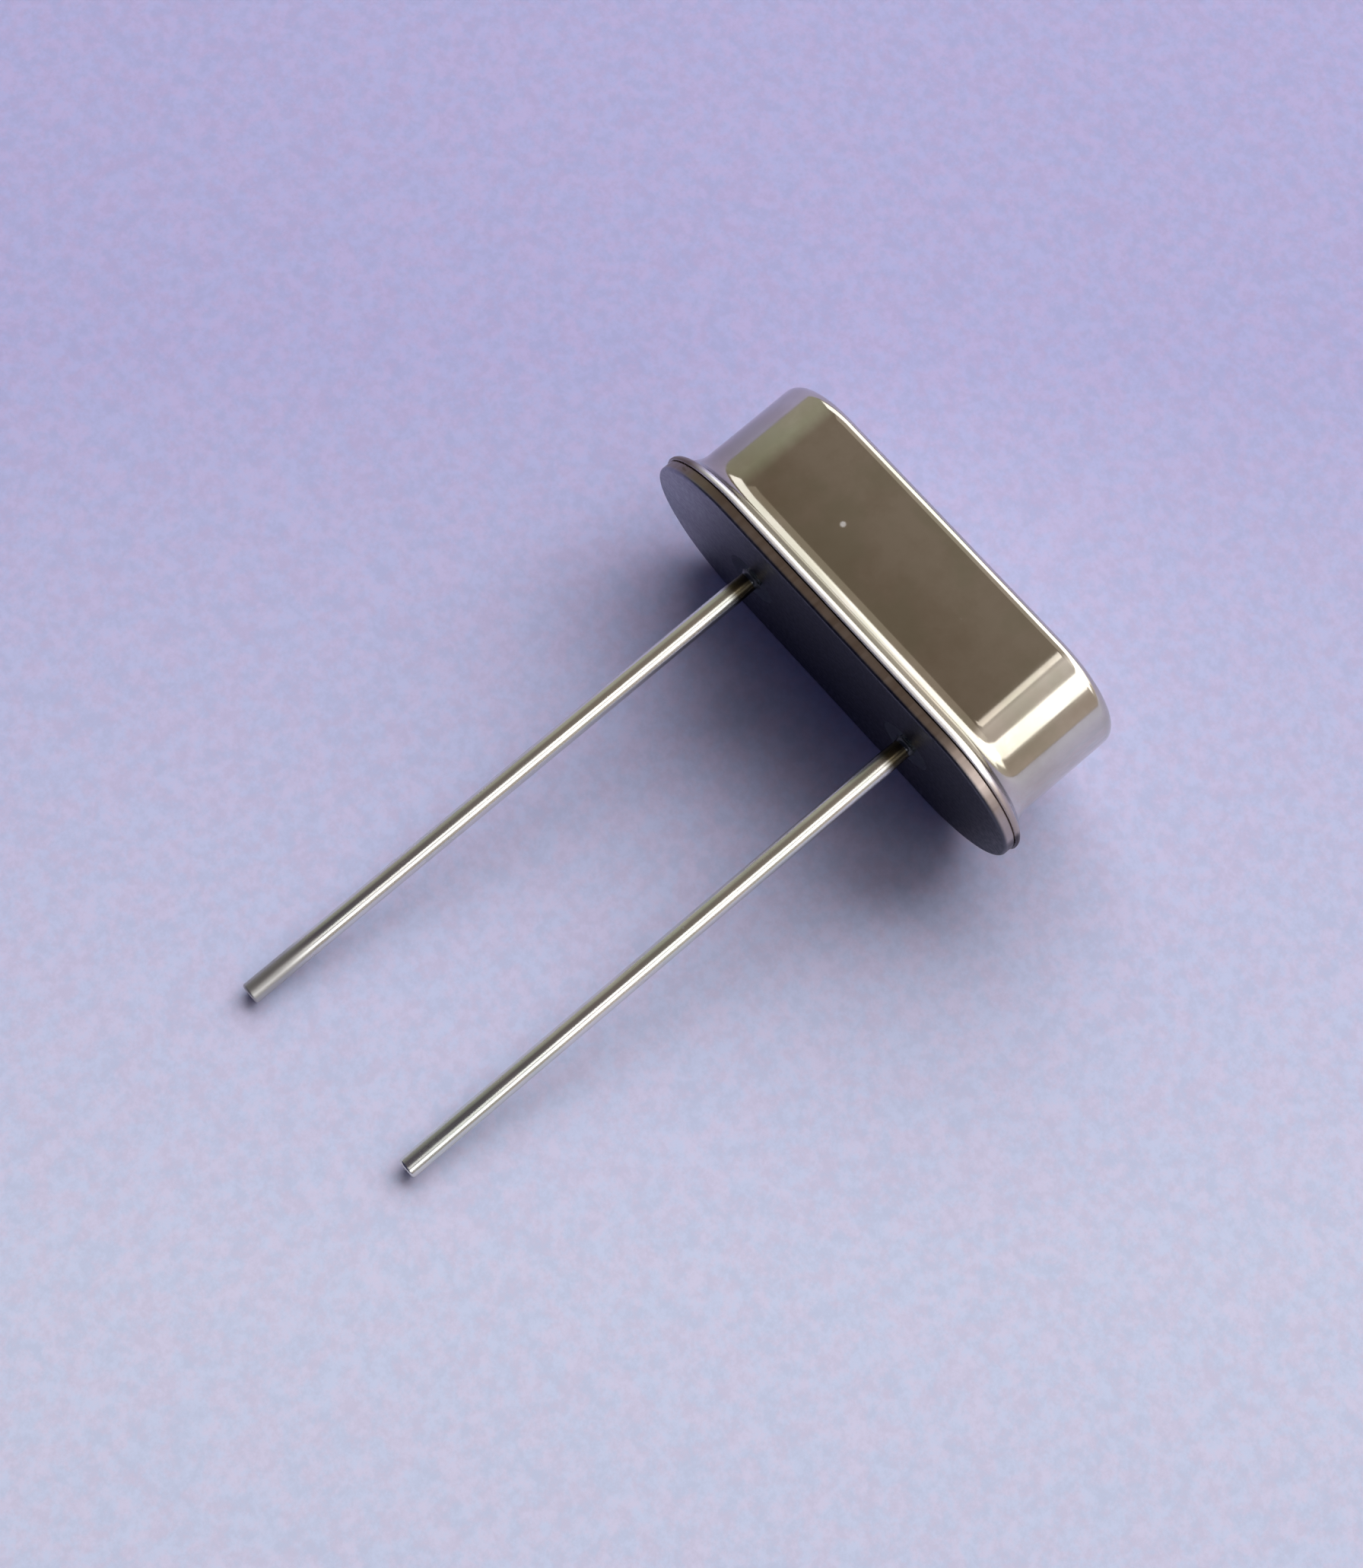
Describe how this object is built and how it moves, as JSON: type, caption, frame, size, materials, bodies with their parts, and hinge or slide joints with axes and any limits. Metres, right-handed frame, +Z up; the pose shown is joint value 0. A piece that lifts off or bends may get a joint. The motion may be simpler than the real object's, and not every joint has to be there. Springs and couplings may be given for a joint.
{
  "type": "quartz crystal",
  "caption": "Low metal-cased quartz crystal with a flanged oblong can, a welded base and two straight wire leads, lying on its broad side.",
  "frame": {"origin": "centre of the bounding box in plan, on the surface that the unit lies on", "axes": "+X along the case's long way, +Y from the lead tips towards the closed end of the can, +Z up. The unit lies on its broad side, on the edge of its flange and the tip of its longer lead, so it is tilted by 8.6 degrees about X with the closed end a little up"},
  "size_m": [0.011, 0.0172, 0.0046],
  "materials": {
    "cover_nickel": "bright nickel plate, smooth, with a faint warm tint",
    "base_nickel": "bright nickel plate, a little duller at the weld",
    "seal_glass": "fused dark sealing glass, opaque and glossy",
    "lead_tin": "tinned wire, bright satin",
    "clip_spring": "thin spring strip, satin",
    "quartz": "lapped clear quartz, slightly frosted",
    "silver_film": "evaporated silver, bright",
    "conductive_adhesive": "silver-filled adhesive, dull grey"
  },
  "bodies": {
    "root": {"cover": "cover_nickel", "base_plate": "base_nickel", "glass_seal_left": "seal_glass", "glass_seal_right": "seal_glass", "lead_left": "lead_tin", "lead_right": "lead_tin", "clip_left": "clip_spring", "clip_right": "clip_spring", "quartz_blank": "quartz", "electrode_front": "silver_film", "electrode_back": "silver_film", "adhesive_left": "conductive_adhesive", "adhesive_right": "conductive_adhesive"}
  },
  "joints": []
}
